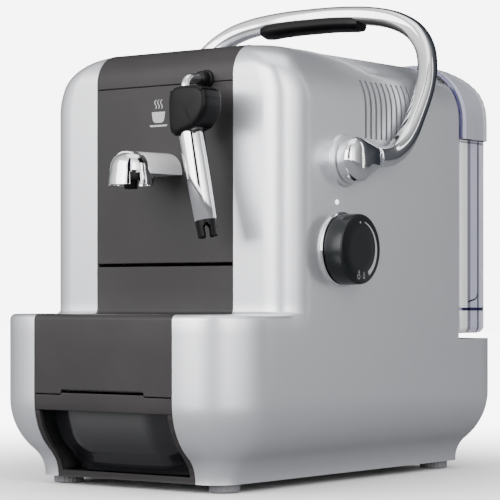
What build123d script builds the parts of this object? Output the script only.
"""Lever-operated pod coffee machine with a steam wand.

Frame: +Z up, the front faces -Y, the steam knob is on the +X side, and the
origin is on the table under the middle of the machine. Millimetres.
Distances named *_F are measured back from the front face of the base.
"""

from build123d import *
from math import asin, cos, radians, sin, sqrt, tan
import os

os.makedirs("parts", exist_ok=True)

# ---------------------------------------------------------------- overall sizes
WIDTH = 215.0
DEPTH = 328.0
TOP_Z = 302.0
WALL = 3.0
BAND = 60.4              # half-width of the dark middle band
LEDGE_F = 65.6           # upper front plane
LEDGE_Z = 118.2          # cup ledge
BASE_CORNER_R = 43.0
UPPER_CORNER_R = 21.5
REAR_CORNER_R = 8.0
SHOULDER_R = 41.0
BROW_R = 22.0            # front edge of the top
SEAM = 0.3               # gap between skins, and between moving bodies
RUN_FIT = 0.06           # radial running fit of pins and shafts

# the base tucks in below this height: a convex arc, then a concave flare
TUCK_TOP = 59.5
TUCK_R = 46.0
FLARE_TOP = 24.0
FLARE_END = 7.4
PLINTH_Z = 6.0
REAR_TUCK_SHARE = 0.28
TUCK_LEVELS = (12.0, 17.0, 32.0, 41.0, 50.0)  # heights between the tuck's ends

# dark band, seams from the bottom to the top
STRIP_Z = 53.0
STRIP_TOP_Z = 63.5
NOTCH_HALF = 36.0        # raised middle of the strip, the drawer's finger notch
NOTCH_RISE = 1.5
NOTCH_GAP = 1.6
GROOVE_Z = LEDGE_Z + 32.8  # shadow groove above the pull-out unit
GROOVE = 2.2
CAP_SEAM_Z = TOP_Z - 26.0
CAP_F = 104.0            # rear edge of the front cap

# water tank at the rear
TANK_BACK = 6.0          # tank's rear face, in from the machine's rear
TANK_BAY = 48.0          # depth of the tank recess, from the rear face
CUT_FLOOR_Z = LEDGE_Z - 19.2
TANK_Z = CUT_FLOOR_Z + 4.0
TANK_SEAM_Z = TOP_Z - 55.0
TANK_WALL = 2.5
TANK_GAP = 1.2
LID_REAR_R = 36.0

# lever
HUB_F = 130.0
HUB_Z = TOP_Z - 78.5
HUB_R = 16.0
LEVER_X = WIDTH / 2 + 8.5  # middle of the lever's side arms
LEVER_DEG = 75.0
BAR_Z = TOP_Z + 39.0
BAR_GAP = 35.0           # bar centre, ahead of the tank recess
STUB_R = 5.0
CRANK_R = 11.5
PISTON_TRAVEL = 2 * CRANK_R * sin(radians(LEVER_DEG / 2))

# knob
KNOB_F = 125.6
KNOB_Z = HUB_Z - 61.2
KNOB_R = 24.3
KNOB_FACE_X = WIDTH / 2 + 16.5
SPINDLE_R = 3.0
LED_F = 120.7
LED_Z = HUB_Z - 29.0

# brewing parts
SPOUT_Z = HUB_Z - 2.5
HOOD_F = 30.5
HOOD_R = 15.0
HEAD_DEPTH = 16.0
SLOT_F = 94.0            # capsule slot in the top
SLOT_LONG = 32.0
SLOT_HALF = 22.0
FRAME_X = 52.0

# steam wand
WAND_X = 37.75
WAND_Z = TOP_Z - 24.0
WAND_F = 41.0
WAND_TILT = 11.8
PIPE_R = 3.0

FRONT = -DEPTH / 2
REAR = DEPTH / 2
SIDE = WIDTH / 2
PANEL = FRONT + LEDGE_F
CUT = REAR - TANK_BAY
PAN_Z = PLINTH_Z + WALL
TANK_FRONT = CUT + TANK_GAP
TANK_REAR = REAR - TANK_BACK
HUB_Y = FRONT + HUB_F
KNOB_Y = FRONT + KNOB_F
BAR_Y = CUT - BAR_GAP
INNER = SIDE - WALL


def save(piece, name):
    piece.part.label = name
    export_step(piece.part, f"parts/{name}.step")


# ---------------------------------------------------------------- master forms
def tuck(z):
    """Inset of the base's side at height z: arc of TUCK_R, then a tangent flare."""
    lean = asin((TUCK_TOP - FLARE_TOP) / TUCK_R)
    flare_r = (FLARE_TOP - FLARE_END) / sin(lean)
    arc_in = TUCK_R * (1 - cos(lean))
    flare_in = flare_r * (1 - cos(lean))
    if z >= TUCK_TOP:
        return 0.0
    if z >= FLARE_TOP:
        return TUCK_R - sqrt(TUCK_R**2 - (TUCK_TOP - z) ** 2)
    rise = max(z - FLARE_END, 0.0)
    return arc_in + flare_in - (flare_r - sqrt(flare_r**2 - rise**2))


def plan_outline(inset, side_in=0.0, front_f=0.0, front_r=BASE_CORNER_R):
    """Plan of the housing: wide front corners, small rear corners."""
    half = SIDE - side_in - inset
    front = FRONT + front_f + side_in + inset
    rear = REAR - REAR_TUCK_SHARE * side_in - inset
    r1 = front_r - side_in - inset
    r2 = REAR_CORNER_R - inset
    with BuildLine() as outline:
        Line((-half + r1, front), (half - r1, front))
        RadiusArc((half - r1, front), (half, front + r1), -r1)
        Line((half, front + r1), (half, rear - r2))
        RadiusArc((half, rear - r2), (half - r2, rear), -r2)
        Line((half - r2, rear), (-half + r2, rear))
        RadiusArc((-half + r2, rear), (-half, rear - r2), -r2)
        Line((-half, rear - r2), (-half, front + r1))
        RadiusArc((-half, front + r1), (-half + r1, front), -r1)
    make_face(outline.edges())


def housing_form(inset):
    """The whole outer form, moved inwards by inset. Its underside stays open."""
    with BuildPart() as upper:
        with BuildSketch(Plane.XY.offset(TUCK_TOP)):
            plan_outline(inset, front_f=LEDGE_F, front_r=UPPER_CORNER_R)
        extrude(amount=TOP_Z - inset - TUCK_TOP)
        with BuildSketch(Plane.XZ):
            shoulder_outline(inset)
        extrude(amount=DEPTH, both=True, mode=Mode.INTERSECT)
        with BuildSketch(Plane.YZ):
            brow_outline(inset)
        extrude(amount=WIDTH, both=True, mode=Mode.INTERSECT)
    floor = PLINTH_Z - inset
    levels = sorted([floor, FLARE_END, FLARE_TOP, TUCK_TOP, *TUCK_LEVELS])
    with BuildPart() as form:
        for level in levels:
            with BuildSketch(Plane.XY.offset(level)):
                plan_outline(inset, side_in=tuck(level))
        loft(ruled=True)
        with BuildSketch(Plane.XY.offset(TUCK_TOP)):
            plan_outline(inset)
        extrude(amount=LEDGE_Z - inset - TUCK_TOP)
        add(upper.part)
    return form.part


def shoulder_outline(inset):
    """Front view of the upper housing, with its rounded shoulders."""
    half = SIDE - inset
    top = TOP_Z - inset
    r = SHOULDER_R - inset
    with BuildLine() as outline:
        Line((-half, 0), (half, 0))
        Line((half, 0), (half, top - r))
        RadiusArc((half, top - r), (half - r, top), -r)
        Line((half - r, top), (-half + r, top))
        RadiusArc((-half + r, top), (-half, top - r), -r)
        Line((-half, top - r), (-half, 0))
    make_face(outline.edges())


def brow_outline(inset):
    """Side view of the upper housing, rounded at the front of the top."""
    front = PANEL + inset
    top = TOP_Z - inset
    r = BROW_R - inset
    with BuildLine() as outline:
        Line((REAR, 0), (front, 0))
        Line((front, 0), (front, top - r))
        RadiusArc((front, top - r), (front + r, top), r)
        Line((front + r, top), (REAR, top))
        Line((REAR, top), (REAR, 0))
    make_face(outline.edges())


def recess(offset, mode):
    """Tank recess across the whole rear. A positive offset makes it larger."""
    block(-WIDTH, WIDTH, CUT - offset, DEPTH, CUT_FLOOR_Z - offset, 2 * TOP_Z, mode=mode)


def block(x0, x1, y0, y1, z0, z1, mode=Mode.ADD):
    """Box between two corners, on its own sketch plane."""
    with BuildSketch(Plane.XY.offset(z0)) as section:
        with Locations(((x0 + x1) / 2, (y0 + y1) / 2)):
            Rectangle(x1 - x0, y1 - y0)
    extrude(section.sketch, amount=z1 - z0, mode=mode)


def rod(plane, x, y, radius, start, length, mode=Mode.ADD):
    """Round bar or hole along a plane's normal."""
    with BuildSketch(plane.offset(start)) as section:
        with Locations((x, y)):
            Circle(radius)
    extrude(section.sketch, amount=length, mode=mode)


OUTER = housing_form(0)
HOLLOW = housing_form(WALL)
with BuildPart() as skin_form:
    add(OUTER)
    add(HOLLOW, mode=Mode.SUBTRACT)
SKIN = skin_form.part

ACROSS = Plane.YZ                       # its normal runs along +X
REARWARD = Plane.XZ.rotated((0, 0, 180))  # its normal runs along +Y, x is turned round


# ---------------------------------------------------------------- side shells
VENT_COUNT = 10
VENT_PITCH = 6.5
VENT_F = 155.0
VENT_WIDE = 2.0
VENT_Z = TOP_Z - 62.0
VENT_TOP_Z = TOP_Z - 19.0
COLLAR_SLEEVE_R = STUB_R + 2.0
LED_R = 1.8
REAR_COVER_HALF = SIDE - tuck(PLINTH_Z) - REAR_CORNER_R - 1


def side_shell(hand):
    """Silver side casing of one hand, +1 right or -1 left."""
    with BuildPart() as shell:
        add(SKIN)
        reach = sorted((hand * (BAND + SEAM / 2), hand * WIDTH))
        block(*reach, -DEPTH, DEPTH, 0, TOP_Z + 1, mode=Mode.INTERSECT)
        # room for the rear cover and the tank
        block(-REAR_COVER_HALF - SEAM, REAR_COVER_HALF + SEAM, REAR - TUCK_R / 2, REAR + 1,
              0, TOP_Z + 1, mode=Mode.SUBTRACT)
        recess(0, Mode.SUBTRACT)
        # lever bearing hole
        rod(ACROSS, HUB_Y, HUB_Z, COLLAR_SLEEVE_R, hand * (INNER - 1) if hand > 0 else -SIDE - 1,
            WALL + 2, mode=Mode.SUBTRACT)
        for k in range(VENT_COUNT):
            y = FRONT + VENT_F + k * VENT_PITCH
            vent = sorted((hand * (INNER - SHOULDER_R / 2), hand * (SIDE + 1)))
            block(*vent, y - VENT_WIDE / 2, y + VENT_WIDE / 2, VENT_Z, VENT_TOP_Z,
                  mode=Mode.SUBTRACT)
        if hand > 0:
            rod(ACROSS, KNOB_Y, KNOB_Z, SPINDLE_R + 1.0, INNER - 1, WALL + 2, mode=Mode.SUBTRACT)
            rod(ACROSS, FRONT + LED_F, LED_Z, LED_R, INNER - 1, WALL + 2, mode=Mode.SUBTRACT)
    return shell


right_shell = side_shell(1)
save(right_shell, "right_shell")
left_shell = side_shell(-1)
save(left_shell, "left_shell")

# ---------------------------------------------------------------- dark middle band
INLAY = BAND - SEAM / 2
COLLAR_R = 5.0           # collar at the wand's pipe
GRILLE_HALF = 44.0
GRILLE_F0 = 9.0
GRILLE_F1 = 57.0
SPOUT_HOLE_R = 6.0

with BuildPart() as front_panel:
    add(SKIN)
    block(-INLAY, INLAY, PANEL - 1, PANEL + WALL + 1, GROOVE_Z + GROOVE, CAP_SEAM_Z - SEAM / 2,
          mode=Mode.INTERSECT)
    rod(REARWARD, 0, SPOUT_Z, SPOUT_HOLE_R, PANEL - 1, WALL + 2, mode=Mode.SUBTRACT)
    rod(REARWARD, -WAND_X, WAND_Z, COLLAR_R, PANEL - 1, WALL + 2, mode=Mode.SUBTRACT)
save(front_panel, "front_panel")

with BuildPart() as front_cap:
    add(SKIN)
    block(-INLAY, INLAY, PANEL - 1, FRONT + CAP_F - SEAM / 2, CAP_SEAM_Z + SEAM / 2, TOP_Z + 1,
          mode=Mode.INTERSECT)
    rod(REARWARD, -WAND_X, WAND_Z, COLLAR_R, PANEL - 1, WALL + 2, mode=Mode.SUBTRACT)
    block(-SLOT_HALF, SLOT_HALF, FRONT + SLOT_F, FRONT + CAP_F + 1, TOP_Z - WALL - 1, TOP_Z + 1,
          mode=Mode.SUBTRACT)
save(front_cap, "front_cap")

with BuildPart() as top_cover:
    add(SKIN)
    block(-INLAY, INLAY, FRONT + CAP_F + SEAM / 2, REAR, TOP_Z - WALL - 1, TOP_Z + 1,
          mode=Mode.INTERSECT)
    recess(WALL + SEAM, Mode.SUBTRACT)
    block(-SLOT_HALF, SLOT_HALF, FRONT + CAP_F - 1, FRONT + SLOT_F + SLOT_LONG,
          TOP_Z - WALL - 1, TOP_Z + 1, mode=Mode.SUBTRACT)
save(top_cover, "top_cover")

# Tank bulkhead: the wall ahead of the tank and the shelf under it.
SEAT_R = 14.0
with BuildPart() as tank_bulkhead:
    recess(WALL, Mode.ADD)
    recess(0, Mode.SUBTRACT)
    add(HOLLOW, mode=Mode.INTERSECT)
    block(-WIDTH, WIDTH, -DEPTH, REAR - WALL - SEAM, 0, TOP_Z - WALL, mode=Mode.INTERSECT)
    rod(Plane.XY, 0, (TANK_FRONT + TANK_REAR) / 2, SEAT_R - 4, CUT_FLOOR_Z - WALL - 1, WALL + 2,
        mode=Mode.SUBTRACT)
save(tank_bulkhead, "tank_bulkhead")

# ---------------------------------------------------------------- pan, plinth, rear, feet
FOOT_R = 10.5
FOOT_X = 69.0
FOOT_FRONT_F = 45.0
FOOT_REAR_F = 22.0       # in from the rear face
CONTAINER_HALF = 56.0
SILL_Z = 10.5
SWITCH_X = -54.0
SWITCH_Z = 62.0
SWITCH_HALF_X = 6.0
SWITCH_HALF_Z = 9.0
INLET_X = 54.0
INLET_Z = 62.0
INLET_HALF_X = 13.5
INLET_HALF_Z = 10.0
SWITCH_RIM = 2.0

with BuildPart() as base_pan:
    with BuildSketch(Plane.XY.offset(PLINTH_Z)):
        plan_outline(WALL + SEAM / 2, side_in=tuck(PLINTH_Z))
    extrude(amount=WALL)
    for hand in (-1, 1):
        rod(Plane.XY, hand * FOOT_X, FRONT + FOOT_FRONT_F, FOOT_R / 3, PLINTH_Z - 1, WALL + 2,
            mode=Mode.SUBTRACT)
        rod(Plane.XY, hand * FOOT_X, REAR - FOOT_REAR_F, FOOT_R / 3, PLINTH_Z - 1, WALL + 2,
            mode=Mode.SUBTRACT)
save(base_pan, "base_pan")

with BuildPart() as feet:
    for hand in (-1, 1):
        for y in (FRONT + FOOT_FRONT_F, REAR - FOOT_REAR_F):
            rod(Plane.XY, hand * FOOT_X, y, FOOT_R, 0, PLINTH_Z)
            rod(Plane.XY, hand * FOOT_X, y, FOOT_R / 3, PLINTH_Z, WALL)
save(feet, "feet")

with BuildPart() as plinth_frame:
    add(SKIN)
    block(-INLAY, INLAY, FRONT - 1, FRONT + LEDGE_F, PLINTH_Z, STRIP_Z - SEAM,
          mode=Mode.INTERSECT)
    block(-CONTAINER_HALF - SEAM, CONTAINER_HALF + SEAM, FRONT - 1, FRONT + LEDGE_F + 1,
          SILL_Z, STRIP_Z, mode=Mode.SUBTRACT)
save(plinth_frame, "plinth_frame")

with BuildPart() as rear_cover:
    add(SKIN)
    block(-REAR_COVER_HALF, REAR_COVER_HALF, REAR - TUCK_R / 2, REAR + 1, PAN_Z + SEAM,
          CUT_FLOOR_Z - SEAM, mode=Mode.INTERSECT)
    block(SWITCH_X - SWITCH_HALF_X - SWITCH_RIM, SWITCH_X + SWITCH_HALF_X + SWITCH_RIM,
          REAR - WALL - 1, REAR + 1,
          SWITCH_Z - SWITCH_HALF_Z - SWITCH_RIM - 1, SWITCH_Z + SWITCH_HALF_Z + SWITCH_RIM + 1,
          mode=Mode.SUBTRACT)
    block(INLET_X - INLET_HALF_X, INLET_X + INLET_HALF_X, REAR - WALL - 1, REAR + 1,
          INLET_Z - INLET_HALF_Z, INLET_Z + INLET_HALF_Z, mode=Mode.SUBTRACT)
save(rear_cover, "rear_cover")

# Pan screws, up through the pan between the feet.
SCREW_X = 40.0
SCREW_R = 3.5
with BuildPart() as pan_screws:
    for x in (-SCREW_X, SCREW_X):
        for y in (FRONT + FOOT_FRONT_F + 30, REAR - FOOT_REAR_F - 40):
            rod(Plane.XY, x, y, SCREW_R, PLINTH_Z - 2, 2)
save(pan_screws, "pan_screws")

# ---------------------------------------------------------------- pull-out unit
DRAWER_BACK_F = 165.0
TRAY_WALL = 2.0
TRAY_Z = STRIP_TOP_Z + NOTCH_RISE + 1.5
BIN_HALF = 46.0
BIN_TOP_Z = GROOVE_Z - 11.0
DRAIN_R = 4.0

with BuildPart() as drawer_front:
    add(SKIN)
    block(-INLAY, INLAY, FRONT - 1, PANEL + WALL + 1, STRIP_TOP_Z + 2 * SEAM, GROOVE_Z,
          mode=Mode.INTERSECT)
    block(-NOTCH_HALF, NOTCH_HALF, FRONT - 1, FRONT + WALL + 1, STRIP_TOP_Z,
          STRIP_TOP_Z + NOTCH_RISE + NOTCH_GAP, mode=Mode.SUBTRACT)
    block(-GRILLE_HALF - SEAM, GRILLE_HALF + SEAM, FRONT + GRILLE_F0 - SEAM,
          FRONT + GRILLE_F1 + SEAM, LEDGE_Z - WALL - 1, LEDGE_Z + 1, mode=Mode.SUBTRACT)
save(drawer_front, "drawer_front")

with BuildPart() as drip_tray:
    x = INLAY - WALL
    y0 = FRONT + WALL
    y1 = PANEL + WALL - SEAM
    block(-x, x, y0, y1, TRAY_Z, LEDGE_Z - WALL)
    block(-x + TRAY_WALL, x - TRAY_WALL, y0 + TRAY_WALL, y1 - TRAY_WALL, TRAY_Z + TRAY_WALL,
          LEDGE_Z, mode=Mode.SUBTRACT)
    # posts under the grille's corners
    for px in (-GRILLE_HALF + 4, GRILLE_HALF - 4):
        for py in (FRONT + GRILLE_F0 + 4, FRONT + GRILLE_F1 - 4):
            rod(Plane.XY, px, py, 3.0, TRAY_Z + TRAY_WALL, LEDGE_Z - WALL - TRAY_Z - TRAY_WALL)
    rod(Plane.XY, 0, FRONT + LEDGE_F / 2, DRAIN_R, TRAY_Z - 1, TRAY_WALL + 2, mode=Mode.SUBTRACT)
save(drip_tray, "drip_tray")

GRILLE_SLOTS = 9
GRILLE_BAR = 4.0
with BuildPart() as cup_grille:
    block(-GRILLE_HALF, GRILLE_HALF, FRONT + GRILLE_F0, FRONT + GRILLE_F1, LEDGE_Z - WALL,
          LEDGE_Z - SEAM)
    slot_pitch = (2 * GRILLE_HALF - GRILLE_BAR) / GRILLE_SLOTS
    for k in range(GRILLE_SLOTS):
        x0 = -GRILLE_HALF + GRILLE_BAR + k * slot_pitch
        block(x0, x0 + slot_pitch - GRILLE_BAR, FRONT + GRILLE_F0 + 10, FRONT + GRILLE_F1 - 10,
              LEDGE_Z - WALL - 1, LEDGE_Z + 1, mode=Mode.SUBTRACT)
save(cup_grille, "cup_grille")

with BuildPart() as capsule_bin:
    y0 = PANEL + WALL
    y1 = FRONT + DRAWER_BACK_F
    block(-BIN_HALF, BIN_HALF, y0, y1, TRAY_Z, BIN_TOP_Z)
    edges = capsule_bin.edges().filter_by(Axis.Z)
    fillet(edges, radius=6)
    block(-BIN_HALF + TRAY_WALL, BIN_HALF - TRAY_WALL, y0 + TRAY_WALL, y1 - TRAY_WALL,
          TRAY_Z + TRAY_WALL, BIN_TOP_Z + 1, mode=Mode.SUBTRACT)
save(capsule_bin, "capsule_bin")

# Drawer runners on the pan, one each side of the lower container.
RUNNER_WIDE = 3.0
with BuildPart() as drawer_runners:
    for hand in (-1, 1):
        x0, x1 = sorted((hand * (CONTAINER_HALF + SEAM), hand * (CONTAINER_HALF + RUNNER_WIDE)))
        block(x0, x1, FRONT + LEDGE_F, FRONT + DRAWER_BACK_F, PAN_Z, TRAY_Z - SEAM)
save(drawer_runners, "drawer_runners")

# ---------------------------------------------------------------- lower container
CONTAINER_BACK_F = 150.0
CONTAINER_INSET = 5.0
CONTAINER_WALL = 2.2
CONTAINER_Z = SILL_Z + SEAM

with BuildPart() as container_hollow:
    add(housing_form(CONTAINER_INSET + CONTAINER_WALL))
    block(-CONTAINER_HALF + CONTAINER_WALL, CONTAINER_HALF - CONTAINER_WALL, FRONT,
          FRONT + CONTAINER_BACK_F - CONTAINER_WALL, CONTAINER_Z + CONTAINER_WALL,
          STRIP_Z + 1, mode=Mode.INTERSECT)

with BuildPart() as drip_container:
    add(housing_form(CONTAINER_INSET))
    block(-CONTAINER_HALF, CONTAINER_HALF, FRONT, FRONT + CONTAINER_BACK_F, CONTAINER_Z,
          STRIP_Z, mode=Mode.INTERSECT)
    add(container_hollow.part, mode=Mode.SUBTRACT)
save(drip_container, "drip_container")

with BuildPart() as container_strip:
    add(SKIN)
    block(-INLAY, INLAY, FRONT - 1, FRONT + WALL + 4, STRIP_Z, STRIP_TOP_Z, mode=Mode.INTERSECT)
    block(-NOTCH_HALF + SEAM, NOTCH_HALF - SEAM, FRONT, FRONT + WALL, STRIP_TOP_Z,
          STRIP_TOP_Z + NOTCH_RISE)
    # shelf that grips the container's rim
    block(-CONTAINER_HALF, CONTAINER_HALF, FRONT + WALL, FRONT + CONTAINER_INSET + 4,
          STRIP_Z, STRIP_Z + TRAY_WALL)
save(container_strip, "container_strip")

# ---------------------------------------------------------------- water tank
LID_GAP = 0.6
LID_HINGE_Z = TANK_SEAM_Z + 3.0
LID_HINGE_Y = TANK_REAR + 1.8
LID_PIN_R = 1.2
KNUCKLE_R = 2.6
KNUCKLE_SWEEP = KNUCKLE_R * sqrt(2) + SEAM
KNUCKLE_X = 30.0
TANK_SIDE = SIDE - 0.2


def tank_plan(inset):
    with BuildSketch(Plane.XY.offset(TANK_Z + inset)) as plan:
        with Locations((0, (TANK_FRONT + TANK_REAR) / 2)):
            Rectangle(2 * (TANK_SIDE - inset), TANK_REAR - TANK_FRONT - 2 * inset)
        corners = plan.vertices().group_by(Axis.Y)[-1]
        fillet(corners, radius=REAR_CORNER_R - inset)
    return plan.sketch


with BuildPart() as water_tank:
    extrude(tank_plan(0), amount=TANK_SEAM_Z - TANK_Z)
    extrude(tank_plan(TANK_WALL), amount=TANK_SEAM_Z - TANK_Z, mode=Mode.SUBTRACT)
    rod(Plane.XY, 0, (TANK_FRONT + TANK_REAR) / 2, 5.0, TANK_Z - 1, TANK_WALL + 2,
        mode=Mode.SUBTRACT)
    # lid knuckles on the rear edge
    for hand in (-1, 1):
        block(hand * KNUCKLE_X - 4, hand * KNUCKLE_X + 4, TANK_REAR, LID_HINGE_Y + KNUCKLE_R,
              TANK_SEAM_Z - 8, TANK_SEAM_Z)
        block(hand * KNUCKLE_X - 4, hand * KNUCKLE_X + 4, LID_HINGE_Y - 0.4,
              LID_HINGE_Y + KNUCKLE_R, TANK_SEAM_Z, LID_HINGE_Z + KNUCKLE_R)
        rod(ACROSS, LID_HINGE_Y, LID_HINGE_Z, LID_PIN_R + RUN_FIT, hand * KNUCKLE_X - 5, 10,
            mode=Mode.SUBTRACT)
save(water_tank, "water_tank")

with BuildPart() as tank_valve:
    rod(Plane.XY, 0, (TANK_FRONT + TANK_REAR) / 2, 5.0, TANK_Z, TANK_WALL)
    rod(Plane.XY, 0, (TANK_FRONT + TANK_REAR) / 2, 9.0, TANK_Z + TANK_WALL, 4)
    rod(Plane.XY, 0, (TANK_FRONT + TANK_REAR) / 2, 6.0, TANK_Z + TANK_WALL + 4, 10)
save(tank_valve, "tank_valve")

with BuildPart() as tank_seat:
    rod(Plane.XY, 0, (TANK_FRONT + TANK_REAR) / 2, SEAT_R, CUT_FLOOR_Z,
        TANK_Z - SEAM - CUT_FLOOR_Z)
    rod(Plane.XY, 0, (TANK_FRONT + TANK_REAR) / 2, SEAT_R - 4.2, CUT_FLOOR_Z - 8, 8)
    rod(Plane.XY, 0, (TANK_FRONT + TANK_REAR) / 2, 3.0, CUT_FLOOR_Z - 9, 20, mode=Mode.SUBTRACT)
save(tank_seat, "tank_seat")


def lid_form(inset):
    """Rear-top dome: shoulders as the housing's, rear edge rounded by LID_REAR_R."""
    front = TANK_FRONT + inset
    rear = TANK_REAR - inset
    top = TOP_Z - inset
    r = LID_REAR_R - inset
    bottom = TANK_SEAM_Z + LID_GAP
    with BuildPart() as lid:
        with BuildSketch(Plane.YZ):
            with BuildLine():
                Line((front, bottom - inset), (front, top))
                Line((front, top), (rear - r, top))
                RadiusArc((rear - r, top), (rear, top - r), r)
                Line((rear, top - r), (rear, bottom - inset))
                Line((rear, bottom - inset), (front, bottom - inset))
            make_face()
        extrude(amount=TANK_SIDE - inset, both=True)
        with BuildSketch(Plane.XZ):
            shoulder_outline(0.2 + inset)
        extrude(amount=DEPTH, both=True, mode=Mode.INTERSECT)
        with BuildSketch(Plane.XY) as plan:
            with Locations((0, rear - TANK_BAY)):
                Rectangle(2 * (TANK_SIDE - inset), 2 * TANK_BAY)
            corners = plan.vertices().group_by(Axis.Y)[-1]
            fillet(corners, radius=REAR_CORNER_R - inset)
        extrude(amount=TOP_Z + 1, mode=Mode.INTERSECT)
    return lid.part


LID_HOLLOW = lid_form(TANK_WALL)
with BuildPart() as tank_lid:
    add(lid_form(0))
    add(LID_HOLLOW, mode=Mode.SUBTRACT)
    # hinge leaf between the tank's knuckles
    leaf = KNUCKLE_X - 4 - SEAM
    block(-leaf, leaf, TANK_REAR - TANK_WALL, LID_HINGE_Y + KNUCKLE_R - 1.0,
          LID_HINGE_Z - 2.0, LID_HINGE_Z + KNUCKLE_R)
    rod(ACROSS, LID_HINGE_Y, LID_HINGE_Z, LID_PIN_R, -leaf - 1, 2 * leaf + 2,
        mode=Mode.SUBTRACT)
    # room for the knuckles' corners when the lid swings
    for hand in (-1, 1):
        rod(ACROSS, LID_HINGE_Y, LID_HINGE_Z, KNUCKLE_SWEEP, hand * KNUCKLE_X - 4 - SEAM,
            8 + 2 * SEAM, mode=Mode.SUBTRACT)
save(tank_lid, "tank_lid")

with BuildPart() as lid_pin:
    rod(ACROSS, LID_HINGE_Y, LID_HINGE_Z, LID_PIN_R, -KNUCKLE_X - 4, 2 * KNUCKLE_X + 8)
save(lid_pin, "lid_pin")

# ---------------------------------------------------------------- spout
HOOD_TOP = SPOUT_Z + 8.0
SPOUT_LOW = SPOUT_Z - 8.0
HOOD_LIP = SPOUT_Z - 15.5
HOOD_WALL = 1.8
NOZZLE_R = 4.7

with BuildPart() as spout:
    with BuildSketch(Plane.XY.offset(HOOD_LIP)):
        with Locations((0, FRONT + HOOD_F)):
            Circle(HOOD_R)
    extrude(amount=HOOD_TOP - HOOD_LIP)
    fillet(spout.edges().group_by(Axis.Z)[-1], radius=8)
    block(-HOOD_R, HOOD_R, FRONT + HOOD_F, PANEL, SPOUT_LOW, HOOD_TOP - 3)
    rod(Plane.XY, 0, FRONT + HOOD_F, HOOD_R - HOOD_WALL, HOOD_LIP - 1, 12, mode=Mode.SUBTRACT)
    rod(REARWARD, 0, SPOUT_Z, SPOUT_HOLE_R - 0.2, PANEL, WALL + 3)
    # drip gap in the skirt, one each side of the front
    for hand in (-1, 1):
        block(hand * HOOD_R * 0.6 - 2.5, hand * HOOD_R * 0.6 + 2.5, FRONT + HOOD_F - HOOD_R - 1,
              FRONT + HOOD_F - 3, HOOD_LIP - 1, HOOD_LIP + 10, mode=Mode.SUBTRACT)
save(spout, "spout")

with BuildPart() as spout_nozzle:
    rod(Plane.XY, 0, FRONT + HOOD_F, NOZZLE_R, HOOD_LIP - 2.5, 13.5)
    rod(Plane.XY, 0, FRONT + HOOD_F, NOZZLE_R / 2, HOOD_LIP - 3, 9, mode=Mode.SUBTRACT)
save(spout_nozzle, "spout_nozzle")

# ---------------------------------------------------------------- brew group
FRAME_T = 3.0
FRAME_Z0 = HUB_Z - 58.5
FRAME_Z1 = HUB_Z + 38.5
FRAME_BACK_F = 162.0
CHUTE_WALL = 1.5
SHUTTER_HALF = SLOT_HALF + 4
SHUTTER_T = 2.0
PISTON_R = 18.0
HEAD_F = LEDGE_F + WALL + 6
PISTON_FACE_F = SLOT_F + SLOT_LONG - PISTON_TRAVEL
YOKE_X = 38.0
YOKE_T = 4.0
CRANK_X = 44.5
CRANK_T = 5.0
PIN_R = 2.5
# the crank pin starts half the lever's throw ahead of straight down
PIN_Y = HUB_Y - CRANK_R * sin(radians(LEVER_DEG / 2))
PIN_Z = HUB_Z - CRANK_R * cos(radians(LEVER_DEG / 2))

with BuildPart() as brew_frame:
    block(-FRAME_X - FRAME_T, FRAME_X + FRAME_T, PANEL + WALL + SEAM, FRONT + FRAME_BACK_F,
          FRAME_Z0, FRAME_Z1)
    block(-FRAME_X, FRAME_X, PANEL + WALL + SEAM + FRAME_T, FRONT + FRAME_BACK_F + 1,
          FRAME_Z0 - 1, FRAME_Z1 + 1, mode=Mode.SUBTRACT)
    rod(ACROSS, HUB_Y, HUB_Z, STUB_R + RUN_FIT, -WIDTH, 2 * WIDTH, mode=Mode.SUBTRACT)
    rod(REARWARD, 0, SPOUT_Z, SPOUT_HOLE_R + 1, PANEL, WALL + FRAME_T + 2, mode=Mode.SUBTRACT)
save(brew_frame, "brew_frame")

with BuildPart() as brew_head:
    y0 = FRONT + HEAD_F
    block(-28, 28, y0, y0 + HEAD_DEPTH, HUB_Z - 25, HUB_Z + 25)
    fillet(brew_head.edges().filter_by(Axis.Y), radius=6)
    rod(REARWARD, 0, HUB_Z, PISTON_R, y0 + HEAD_DEPTH - 5, 6, mode=Mode.SUBTRACT)
    rod(REARWARD, 0, SPOUT_Z, 3.0, y0 - 1, HEAD_DEPTH + 2, mode=Mode.SUBTRACT)
save(brew_head, "brew_head")

with BuildPart() as piston:
    y0 = FRONT + PISTON_FACE_F
    rod(REARWARD, 0, HUB_Z, PISTON_R - 0.5, y0, 30)
    block(-YOKE_X, YOKE_X, y0 + 24, y0 + 30, HUB_Z - 12, HUB_Z + 6)
    for hand in (-1, 1):
        x0, x1 = sorted((hand * YOKE_X, hand * (YOKE_X + YOKE_T)))
        block(x0, x1, PIN_Y - 9, y0 + 30, HUB_Z - 20, HUB_Z + 6)
        block(x0 - 1, x1 + 1, PIN_Y - PIN_R - 0.6, PIN_Y + PIN_R + 0.6, HUB_Z - 16, HUB_Z - 4,
              mode=Mode.SUBTRACT)
save(piston, "piston")


def crank(hand):
    """Crank on one lever stub, with the pin that works in the piston's yoke slot."""
    with BuildPart() as arm:
        start = CRANK_X if hand > 0 else -CRANK_X - CRANK_T
        rod(ACROSS, HUB_Y, HUB_Z, STUB_R + 4, start, CRANK_T)
        rod(ACROSS, PIN_Y, PIN_Z, PIN_R + 3, start, CRANK_T)
        pin_start = YOKE_X - 1 if hand > 0 else -CRANK_X
        rod(ACROSS, PIN_Y, PIN_Z, PIN_R, pin_start, CRANK_X - YOKE_X + 1)
        rod(ACROSS, HUB_Y, HUB_Z, STUB_R, start - 1, CRANK_T + 2, mode=Mode.SUBTRACT)
    return arm


right_crank = crank(1)
save(right_crank, "right_crank")
left_crank = crank(-1)
save(left_crank, "left_crank")

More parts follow.
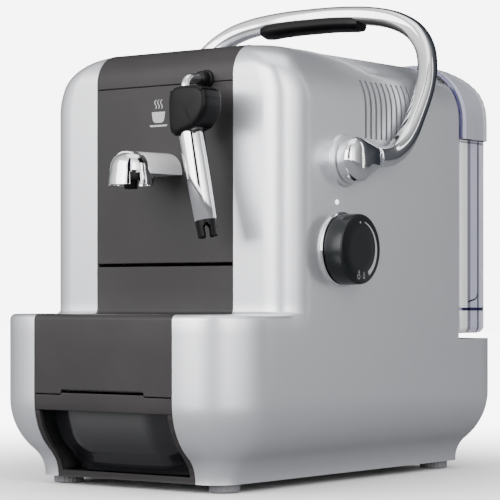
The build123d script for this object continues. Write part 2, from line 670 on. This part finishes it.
with BuildPart() as capsule_chute:
    y0 = FRONT + SLOT_F - CHUTE_WALL
    y1 = FRONT + SLOT_F + SLOT_LONG + CHUTE_WALL
    z1 = TOP_Z - WALL - SHUTTER_T - 2 * SEAM
    block(-SLOT_HALF - CHUTE_WALL, SLOT_HALF + CHUTE_WALL, y0, y1, HUB_Z + 27, z1)
    block(-SLOT_HALF, SLOT_HALF, y0 + CHUTE_WALL, y1 - CHUTE_WALL, 0, TOP_Z, mode=Mode.SUBTRACT)
save(capsule_chute, "capsule_chute")

with BuildPart() as capsule_shutter:
    z0 = TOP_Z - WALL - SHUTTER_T - SEAM
    block(-SHUTTER_HALF, SHUTTER_HALF, FRONT + SLOT_F - 3, FRONT + SLOT_F + SLOT_LONG + 3,
          z0, z0 + SHUTTER_T)
save(capsule_shutter, "capsule_shutter")

# ---------------------------------------------------------------- lever
COLLAR_T = 2.7
HUB_X = SIDE + COLLAR_T + SEAM
HUB_LONG = 15.0
ARM_START = 26.0         # from the hub's axis to the root of the arm
ARM_WIDE = 12.5
ARM_DEEP = 16.0
GRIP_HALF = 52.0
GRIP_SKIN = 2.5          # how far the soft grip stands off the bar


# Bearing collars on the side shells, each with a sleeve through the wall.
with BuildPart() as hub_collars:
    for disc_x, sleeve_x in ((SIDE, INNER - 3), (-SIDE - COLLAR_T, -SIDE)):
        rod(ACROSS, HUB_Y, HUB_Z, HUB_R + 2, disc_x, COLLAR_T)
        rod(ACROSS, HUB_Y, HUB_Z, COLLAR_SLEEVE_R, sleeve_x, WALL + 3)
    rod(ACROSS, HUB_Y, HUB_Z, STUB_R + RUN_FIT, -WIDTH, 2 * WIDTH, mode=Mode.SUBTRACT)
save(hub_collars, "hub_collars")

def stub(hand):
    """Stub shaft from the hub through the collar and the brew frame to the crank."""
    with BuildPart() as shaft:
        start = CRANK_X if hand > 0 else -HUB_X - 6
        rod(ACROSS, HUB_Y, HUB_Z, STUB_R, start, HUB_X + 6 - CRANK_X)
    return shaft


right_stub = stub(1)
save(right_stub, "right_stub")
left_stub = stub(-1)
save(left_stub, "left_stub")

# The bail: from each hub back and up outside the casing, then over the top.
ARM_IN = 12.0            # how far each upper arm leans in before the crossbar
reach = BAR_Y - HUB_Y
climb = BAR_Z - HUB_Z
half_path = [
    (LEVER_X, HUB_Y + ARM_START, HUB_Z + 2),
    (LEVER_X, HUB_Y + 0.51 * reach, HUB_Z + 0.06 * climb),
    (LEVER_X - 2, HUB_Y + 0.84 * reach, HUB_Z + 0.55 * climb),
    (LEVER_X - ARM_IN, BAR_Y - 6, HUB_Z + 0.71 * climb),
    (LEVER_X - 2 * ARM_IN, BAR_Y - 1, BAR_Z - 10),
    (LEVER_X - 5 * ARM_IN, BAR_Y, BAR_Z),
]
other_half = [(-x, y, z) for x, y, z in reversed(half_path)]
bends = [40, 30, 30, 20, 30]
with BuildPart() as lever_bail:
    with BuildLine() as bail_line:
        FilletPolyline(half_path + other_half, radius=bends + bends[::-1])
    start = bail_line.line @ 0
    with BuildSketch(Plane(start, x_dir=(1, 0, 0), z_dir=bail_line.line % 0)):
        RectangleRounded(ARM_WIDE, ARM_DEEP, radius=5.5)
    sweep()
save(lever_bail, "lever_bail")

with BuildPart() as lever_grip:
    block(-GRIP_HALF, GRIP_HALF, BAR_Y - ARM_DEEP / 2 - GRIP_SKIN, BAR_Y + ARM_DEEP / 2,
          BAR_Z - ARM_WIDE / 2 - 2 * GRIP_SKIN, BAR_Z)
    add(lever_bail.part, mode=Mode.SUBTRACT)
save(lever_grip, "lever_grip")


def hub(hand):
    """Rounded lever boss with a beak where the side arm joins it."""
    with BuildPart() as boss:
        start = HUB_X if hand > 0 else -HUB_X - HUB_LONG
        rod(ACROSS, HUB_Y, HUB_Z, HUB_R, start, HUB_LONG)
        outer = boss.faces().sort_by(Axis.X)[-1 if hand > 0 else 0]
        fillet(outer.edges(), radius=HUB_LONG * 0.6)
        beak = sorted((hand * (HUB_X + 1), hand * (HUB_X + ARM_WIDE - 1)))
        block(*beak, HUB_Y, HUB_Y + ARM_START + 1, HUB_Z - 6, HUB_Z + 8)
        socket = HUB_X - 1 if hand > 0 else -HUB_X - 6
        rod(ACROSS, HUB_Y, HUB_Z, STUB_R, socket, 7, mode=Mode.SUBTRACT)
        add(lever_bail.part, mode=Mode.SUBTRACT)
    return boss


right_hub = hub(1)
save(right_hub, "right_hub")
left_hub = hub(-1)
save(left_hub, "left_hub")

# ---------------------------------------------------------------- knob and steam valve
BEZEL_T = 2.0
KNOB_X = SIDE + BEZEL_T + SEAM
VALVE_LONG = 26.0
VALVE_X1 = INNER - 3

with BuildPart() as knob_bezel:
    rod(ACROSS, KNOB_Y, KNOB_Z, KNOB_R + 1.5, SIDE, BEZEL_T)
    rod(ACROSS, KNOB_Y, KNOB_Z, SPINDLE_R + 1.0, SIDE - 1, BEZEL_T + 2, mode=Mode.SUBTRACT)
save(knob_bezel, "knob_bezel")

with BuildPart() as steam_knob:
    rod(ACROSS, KNOB_Y, KNOB_Z, KNOB_R, KNOB_X, KNOB_FACE_X - KNOB_X)
    fillet(steam_knob.edges().group_by(Axis.X)[-1], radius=1.2)
    rod(ACROSS, KNOB_Y, KNOB_Z, SPINDLE_R, KNOB_X - 1, 9, mode=Mode.SUBTRACT)
save(steam_knob, "steam_knob")

with BuildPart() as valve_spindle:
    rod(ACROSS, KNOB_Y, KNOB_Z, SPINDLE_R, VALVE_X1 - 16, KNOB_X + 8 - VALVE_X1 + 16)
save(valve_spindle, "valve_spindle")

with BuildPart() as steam_valve:
    block(VALVE_X1 - VALVE_LONG, VALVE_X1, KNOB_Y - 11, KNOB_Y + 11, KNOB_Z - 11, KNOB_Z + 11)
    rod(ACROSS, KNOB_Y, KNOB_Z, SPINDLE_R + RUN_FIT, VALVE_X1 - 17, 18, mode=Mode.SUBTRACT)
save(steam_valve, "steam_valve")

with BuildPart() as led_lens:
    rod(ACROSS, FRONT + LED_F, LED_Z, LED_R, INNER, WALL)
    rod(ACROSS, FRONT + LED_F, LED_Z, LED_R + 1, INNER - 4, 4)
save(led_lens, "led_lens")

# ---------------------------------------------------------------- steam wand
GRIP_Z0 = WAND_Z - 38.0
GRIP_Z1 = WAND_Z - 11.0
GRIP_T = 19.0
GRIP_LONG = 30.0
TUBE_TOP_R = 9.4
TUBE_LOW_R = 7.5
TUBE_LOW_Z = WAND_Z - 97.3
TIP_Z = TUBE_LOW_Z - 11.0
PIPE_BEND_R = 9.0
TIP_SLOT = 2.7
TIP_TURN = -35.0         # the fork's slot faces the front right
PIPE_END_Z = WAND_Z - 18.0
WAND_Y = FRONT + WAND_F


def wand_x(z):
    """Middle of the hanging wand at height z, on its outward slant."""
    return WAND_X + (WAND_Z - z) * tan(radians(WAND_TILT))


slant = Vector(sin(radians(WAND_TILT)), 0, -cos(radians(WAND_TILT)))


def along_wand(z):
    return Plane(Vector(wand_x(z), WAND_Y, z), x_dir=(0, -1, 0), z_dir=slant)


def run_to(z0, z1):
    return (z0 - z1) / cos(radians(WAND_TILT))


with BuildPart() as wand_collar:
    rod(REARWARD, -WAND_X, WAND_Z, COLLAR_R, PANEL - 4, 4 + WALL)
    rod(REARWARD, -WAND_X, WAND_Z, PIPE_R + RUN_FIT, PANEL - 5, WALL + 6, mode=Mode.SUBTRACT)
save(wand_collar, "wand_collar")

with BuildPart() as wand_pipe:
    with BuildLine() as pipe_line:
        FilletPolyline((WAND_X, PANEL + WALL + 2, WAND_Z), (WAND_X, WAND_Y, WAND_Z),
                       (wand_x(PIPE_END_Z), WAND_Y, PIPE_END_Z), radius=PIPE_BEND_R)
    with BuildSketch(Plane(pipe_line.line @ 0, z_dir=pipe_line.line % 0)):
        Circle(PIPE_R)
    sweep()
save(wand_pipe, "wand_pipe")

with BuildPart() as wand_neck:
    with BuildSketch(along_wand(GRIP_Z0 + 4)):
        Circle(TUBE_TOP_R - 4)
    extrude(amount=run_to(GRIP_Z0 + 4, GRIP_Z0 - 2.5))
save(wand_neck, "wand_neck")

with BuildPart() as wand_grip:
    x0 = wand_x(GRIP_Z1) - 9.5
    x1 = x0 + GRIP_LONG
    with BuildSketch(Plane.XZ.offset(-WAND_Y - GRIP_T / 2)):
        with BuildLine():
            Polyline((x0, GRIP_Z0), (x1 - 8, GRIP_Z0), (x1, GRIP_Z0 + 9), (x1, GRIP_Z1),
                     (x0, GRIP_Z1), close=True)
        make_face()
    extrude(amount=GRIP_T)
    fillet(wand_grip.edges().filter_by(Axis.Y), radius=4)
    add(wand_pipe.part, mode=Mode.SUBTRACT)
    add(wand_neck.part, mode=Mode.SUBTRACT)
save(wand_grip, "wand_grip")

with BuildPart() as wand_tube:
    top = along_wand(GRIP_Z0 - 2.5)
    length = run_to(GRIP_Z0 - 2.5, TUBE_LOW_Z)
    with BuildSketch(top):
        Circle(TUBE_TOP_R)
    with BuildSketch(top.offset(length)):
        Circle(TUBE_LOW_R)
    loft()
save(wand_tube, "wand_tube")

with BuildPart() as wand_tip:
    low = along_wand(TUBE_LOW_Z)
    length = run_to(TUBE_LOW_Z, TIP_Z)
    with BuildSketch(low):
        Circle(TUBE_LOW_R)
    extrude(amount=length)
    with BuildSketch(low.offset(length - 7)):
        Rectangle(4 * TUBE_LOW_R, TIP_SLOT, rotation=TIP_TURN)
    extrude(amount=8, mode=Mode.SUBTRACT)
save(wand_tip, "wand_tip")

# ---------------------------------------------------------------- water and power parts
BLOCK_DEPTH = 42.0
BLOCK_Y1 = CUT - WALL - 6
BLOCK_HALF = 38.0
STEAM_X = FRAME_X + FRAME_T + 10
STEAM_Y = BLOCK_Y1 - BLOCK_DEPTH / 2
STEAM_Z = HUB_Z - 11.5
PUMP_Y = REAR - 62
PUMP_Z = 48.0
PUMP_R = 19.0

with BuildPart() as thermoblock:
    block(-BLOCK_HALF, BLOCK_HALF, BLOCK_Y1 - BLOCK_DEPTH, BLOCK_Y1, HUB_Z - 43.5, HUB_Z + 21.5)
    fillet(thermoblock.edges().filter_by(Axis.Z), radius=8)
save(thermoblock, "thermoblock")

with BuildPart() as pump:
    block(-24, 24, PUMP_Y - 22, PUMP_Y + 22, PUMP_Z - 22, PUMP_Z + 22)
    rod(ACROSS, PUMP_Y, PUMP_Z, PUMP_R - 6, -52, 104)
save(pump, "pump")

with BuildPart() as pump_mounts:
    for hand in (-1, 1):
        x0, x1 = sorted((hand * 34, hand * 46))
        block(x0, x1, PUMP_Y - 15, PUMP_Y + 15, PAN_Z, PUMP_Z)
        rod(ACROSS, PUMP_Y, PUMP_Z, PUMP_R - 6, x0 - 1, 14, mode=Mode.SUBTRACT)
save(pump_mounts, "pump_mounts")

with BuildPart() as flow_meter:
    rod(Plane.XY, 0, (TANK_FRONT + TANK_REAR) / 2, 16, CUT_FLOOR_Z - 24, 16)
save(flow_meter, "flow_meter")

with BuildPart() as circuit_board:
    block(-34, 34, BLOCK_Y1 - 4, BLOCK_Y1 - 2.4, 112, 170)
    block(-20, 0, BLOCK_Y1 - 16, BLOCK_Y1 - 4, 120, 140)
save(circuit_board, "circuit_board")

with BuildPart() as steam_pipe:
    with BuildLine() as steam_line:
        FilletPolyline((VALVE_X1 - VALVE_LONG, KNOB_Y, KNOB_Z), (STEAM_X, KNOB_Y, KNOB_Z),
                       (STEAM_X, STEAM_Y, KNOB_Z), (STEAM_X, STEAM_Y, STEAM_Z),
                       (BLOCK_HALF, STEAM_Y, STEAM_Z), radius=[5, 12, 12])
    with BuildSketch(Plane(steam_line.line @ 0, z_dir=steam_line.line % 0)):
        Circle(2.5)
    sweep()
save(steam_pipe, "steam_pipe")

# ---------------------------------------------------------------- rear switch and inlet
SWITCH_PIVOT = REAR - 7.0
SWITCH_TILT = 6.0
PIVOT_R = 1.5

with BuildPart() as switch_bezel:
    block(SWITCH_X - SWITCH_HALF_X - SWITCH_RIM, SWITCH_X + SWITCH_HALF_X + SWITCH_RIM,
          REAR - 14, REAR, SWITCH_Z - SWITCH_HALF_Z - SWITCH_RIM - 1,
          SWITCH_Z + SWITCH_HALF_Z + SWITCH_RIM + 1)
    block(SWITCH_X - SWITCH_HALF_X - SEAM, SWITCH_X + SWITCH_HALF_X + SEAM, REAR - 13, REAR + 1,
          SWITCH_Z - SWITCH_HALF_Z - 1.4, SWITCH_Z + SWITCH_HALF_Z + 1.4, mode=Mode.SUBTRACT)
    rod(ACROSS, SWITCH_PIVOT, SWITCH_Z, PIVOT_R + RUN_FIT, SWITCH_X - SWITCH_HALF_X - 1.6,
        2 * SWITCH_HALF_X + 3.2, mode=Mode.SUBTRACT)
save(switch_bezel, "switch_bezel")

with BuildPart() as power_switch:
    with BuildSketch(Plane.YZ.offset(SWITCH_X - SWITCH_HALF_X)):
        with Locations((SWITCH_PIVOT + 0.5, SWITCH_Z)):
            Rectangle(9, 2 * SWITCH_HALF_Z, rotation=-SWITCH_TILT)
    extrude(amount=2 * SWITCH_HALF_X)
    rod(ACROSS, SWITCH_PIVOT, SWITCH_Z, PIVOT_R, SWITCH_X - SWITCH_HALF_X - 1.5,
        2 * SWITCH_HALF_X + 3)
save(power_switch, "power_switch")

with BuildPart() as power_inlet:
    block(INLET_X - INLET_HALF_X, INLET_X + INLET_HALF_X, REAR - 22, REAR,
          INLET_Z - INLET_HALF_Z, INLET_Z + INLET_HALF_Z)
    block(INLET_X - INLET_HALF_X + 1.5, INLET_X + INLET_HALF_X - 1.5, REAR - 18, REAR + 1,
          INLET_Z - INLET_HALF_Z + 1.5, INLET_Z + INLET_HALF_Z - 1.5, mode=Mode.SUBTRACT)
save(power_inlet, "power_inlet")

with BuildPart() as inlet_pins:
    for k, dz in ((-1, -2.5), (0, 2.5), (1, -2.5)):
        block(INLET_X + 7 * k - 1, INLET_X + 7 * k + 1, REAR - 18, REAR - 3,
              INLET_Z + dz - 2, INLET_Z + dz + 2)
save(inlet_pins, "inlet_pins")
